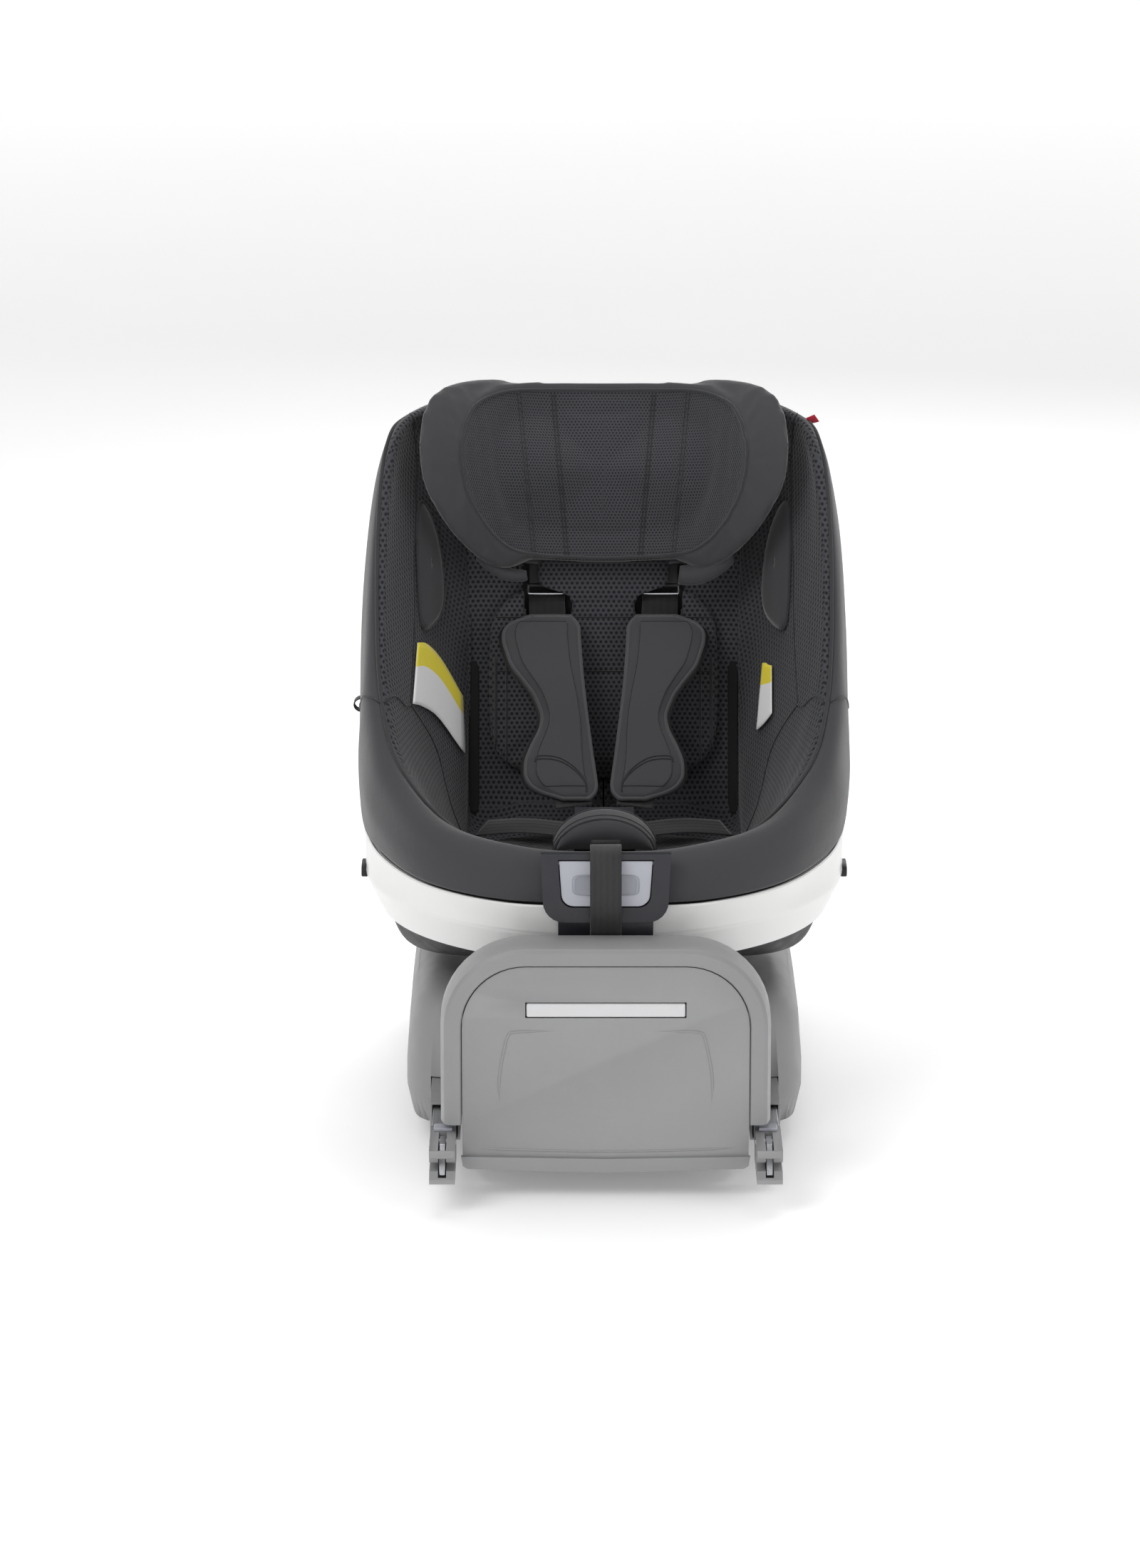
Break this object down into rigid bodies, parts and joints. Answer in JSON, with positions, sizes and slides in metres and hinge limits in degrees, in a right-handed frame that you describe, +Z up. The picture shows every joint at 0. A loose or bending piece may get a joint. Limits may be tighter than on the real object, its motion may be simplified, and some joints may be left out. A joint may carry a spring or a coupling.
{
  "type": "convertible car seat",
  "caption": "Rotating child car seat with a padded bucket, adjustable headrest and harness, on a base with rigid anchor connectors and a folding support leg.",
  "frame": {"origin": "on the floor, on the turntable's axis, which is the middle of the bounding box's bottom", "axes": "+Z up, -Y towards the anchor connectors and the front of the seat at rest, +X to the right of someone facing the seat's front"},
  "size_m": [0.4422, 0.66, 0.6342],
  "materials": {
    "body_grey": "fine satin moulding",
    "dark_plastic": "satin moulding",
    "light_plastic": "satin moulding",
    "white_plastic": "semi-gloss moulding",
    "red_plastic": "semi-gloss moulding",
    "steel": "zinc plated",
    "rubber": "matt",
    "webbing": "flat woven webbing",
    "smooth_fabric": "fine woven cloth",
    "mesh_fabric": "open spacer mesh with round holes"
  },
  "bodies": {
    "base": {"base_lower_shell": "dark_plastic", "base_upper_shell": "body_grey", "rebound_frame": "body_grey", "rebound_panel": "body_grey", "rebound_back_plate": "body_grey", "rubber_feet": "rubber", "connector_guides": "body_grey", "leg_hinge_pin": "steel", "pivot_post": "steel", "bearing_race": "steel", "bearing_balls": "steel", "ball_cage": "light_plastic", "base_screws": "steel"},
    "anchor_carriage": {"anchor_arm_left": "steel", "anchor_arm_right": "steel", "anchor_crossbar": "steel", "connector_left": "body_grey", "connector_right": "body_grey", "latch_pins": "steel"},
    "latch_left": {"latch_hook_left": "steel"},
    "latch_right": {"latch_hook_right": "steel"},
    "release_left": {"connector_button_left": "light_plastic"},
    "release_right": {"connector_button_right": "light_plastic"},
    "adjust_handle": {"anchor_adjust_handle": "light_plastic"},
    "leg_upper": {"leg_upper_tube": "body_grey"},
    "leg_lower": {"leg_lower_tube": "steel", "leg_foot": "rubber"},
    "leg_button": {"leg_lock_button": "light_plastic"},
    "turntable": {"turntable_plate": "dark_plastic", "recline_cradle": "dark_plastic"},
    "seat": {"recline_rails": "steel", "shell_bowl": "dark_plastic", "shell_band": "white_plastic", "back_cover": "dark_plastic", "seat_shell": "dark_plastic", "foam_liner": "mesh_fabric", "front_skirt": "dark_plastic", "headrest_rail": "steel", "grip_bezel": "dark_plastic", "adjust_strap": "webbing", "seat_cover": "smooth_fabric", "seat_cushion": "mesh_fabric", "back_cushion": "mesh_fabric", "shoulder_strap_left": "webbing", "shoulder_strap_right": "webbing", "shoulder_pad_left": "smooth_fabric", "shoulder_pad_right": "smooth_fabric", "lap_straps": "webbing", "buckle": "dark_plastic", "buckle_tongues": "steel", "crotch_pad": "smooth_fabric"},
    "grip": {"recline_grip": "light_plastic"},
    "harness_button": {"adjuster_button": "dark_plastic"},
    "turn_button_left": {"rotation_button_left": "dark_plastic"},
    "turn_button_right": {"rotation_button_right": "dark_plastic"},
    "buckle_release": {"buckle_button": "red_plastic"},
    "headrest": {"headrest_shell": "dark_plastic", "headrest_pad": "smooth_fabric", "harness_slider": "steel"},
    "headrest_release": {"headrest_lever": "light_plastic"}
  },
  "joints": [
    {"name": "seat_rotate", "type": "hinge", "parent": "base", "child": "turntable", "pos_m": [0, 0, 0.13], "axis": [0, 0, 1], "continuous": true},
    {"name": "seat_recline", "type": "hinge", "parent": "turntable", "child": "seat", "pos_m": [0, 0, 0.43], "axis": [1, 0, 0], "range_deg": [0, 15]},
    {"name": "headrest_height", "type": "slide", "parent": "seat", "child": "headrest", "axis": [0, 0.342, 0.9397], "range_m": [0, 0.12]},
    {"name": "headrest_lever_pull", "type": "slide", "parent": "headrest", "child": "headrest_release", "axis": [0, 0.342, 0.9397], "range_m": [0, 0.004], "stiffness_N_per_m": 400},
    {"name": "anchor_reach", "type": "slide", "parent": "base", "child": "anchor_carriage", "axis": [0, -1, 0], "range_m": [-0.024, 0.04]},
    {"name": "latch_left_hinge", "type": "hinge", "parent": "anchor_carriage", "child": "latch_left", "pos_m": [-0.14, -0.29, 0.053], "axis": [-1, 0, 0], "range_deg": [0, 35], "stiffness_Nm_per_rad": 0.1, "springref_deg": -17.19},
    {"name": "latch_right_hinge", "type": "hinge", "parent": "anchor_carriage", "child": "latch_right", "pos_m": [0.14, -0.29, 0.053], "axis": [-1, 0, 0], "range_deg": [0, 35], "stiffness_Nm_per_rad": 0.1, "springref_deg": -17.19},
    {"name": "release_left_slide", "type": "slide", "parent": "anchor_carriage", "child": "release_left", "axis": [0, 1, 0], "range_m": [0, 0.004], "stiffness_N_per_m": 300},
    {"name": "release_right_slide", "type": "slide", "parent": "anchor_carriage", "child": "release_right", "axis": [0, 1, 0], "range_m": [0, 0.004], "stiffness_N_per_m": 300},
    {"name": "adjust_handle_pull", "type": "slide", "parent": "base", "child": "adjust_handle", "axis": [0, -1, 0], "range_m": [0, 0.01], "stiffness_N_per_m": 400},
    {"name": "leg_fold", "type": "hinge", "parent": "base", "child": "leg_upper", "pos_m": [0, 0.274, 0.022], "axis": [1, 0, 0], "range_deg": [0, 100]},
    {"name": "leg_length", "type": "slide", "parent": "leg_upper", "child": "leg_lower", "axis": [0, -1, 0], "range_m": [0, 0.15]},
    {"name": "leg_button_press", "type": "slide", "parent": "leg_upper", "child": "leg_button", "axis": [0, 0, 1], "range_m": [0, 0.0025], "stiffness_N_per_m": 400},
    {"name": "recline_grip_pull", "type": "hinge", "parent": "seat", "child": "grip", "pos_m": [0, -0.2383, 0.2872], "axis": [-1, 0, 0], "range_deg": [0, 10], "stiffness_Nm_per_rad": 0.6},
    {"name": "harness_button_press", "type": "slide", "parent": "seat", "child": "harness_button", "axis": [0, 0, -1], "range_m": [0, 0.003], "stiffness_N_per_m": 400},
    {"name": "turn_button_left_press", "type": "slide", "parent": "seat", "child": "turn_button_left", "axis": [1, 0, 0], "range_m": [0, 0.002], "stiffness_N_per_m": 500},
    {"name": "turn_button_right_press", "type": "slide", "parent": "seat", "child": "turn_button_right", "axis": [-1, 0, 0], "range_m": [0, 0.002], "stiffness_N_per_m": 500},
    {"name": "buckle_button_press", "type": "slide", "parent": "seat", "child": "buckle_release", "axis": [0, 0.2079, -0.9781], "range_m": [0, 0.0025], "stiffness_N_per_m": 500}
  ]
}
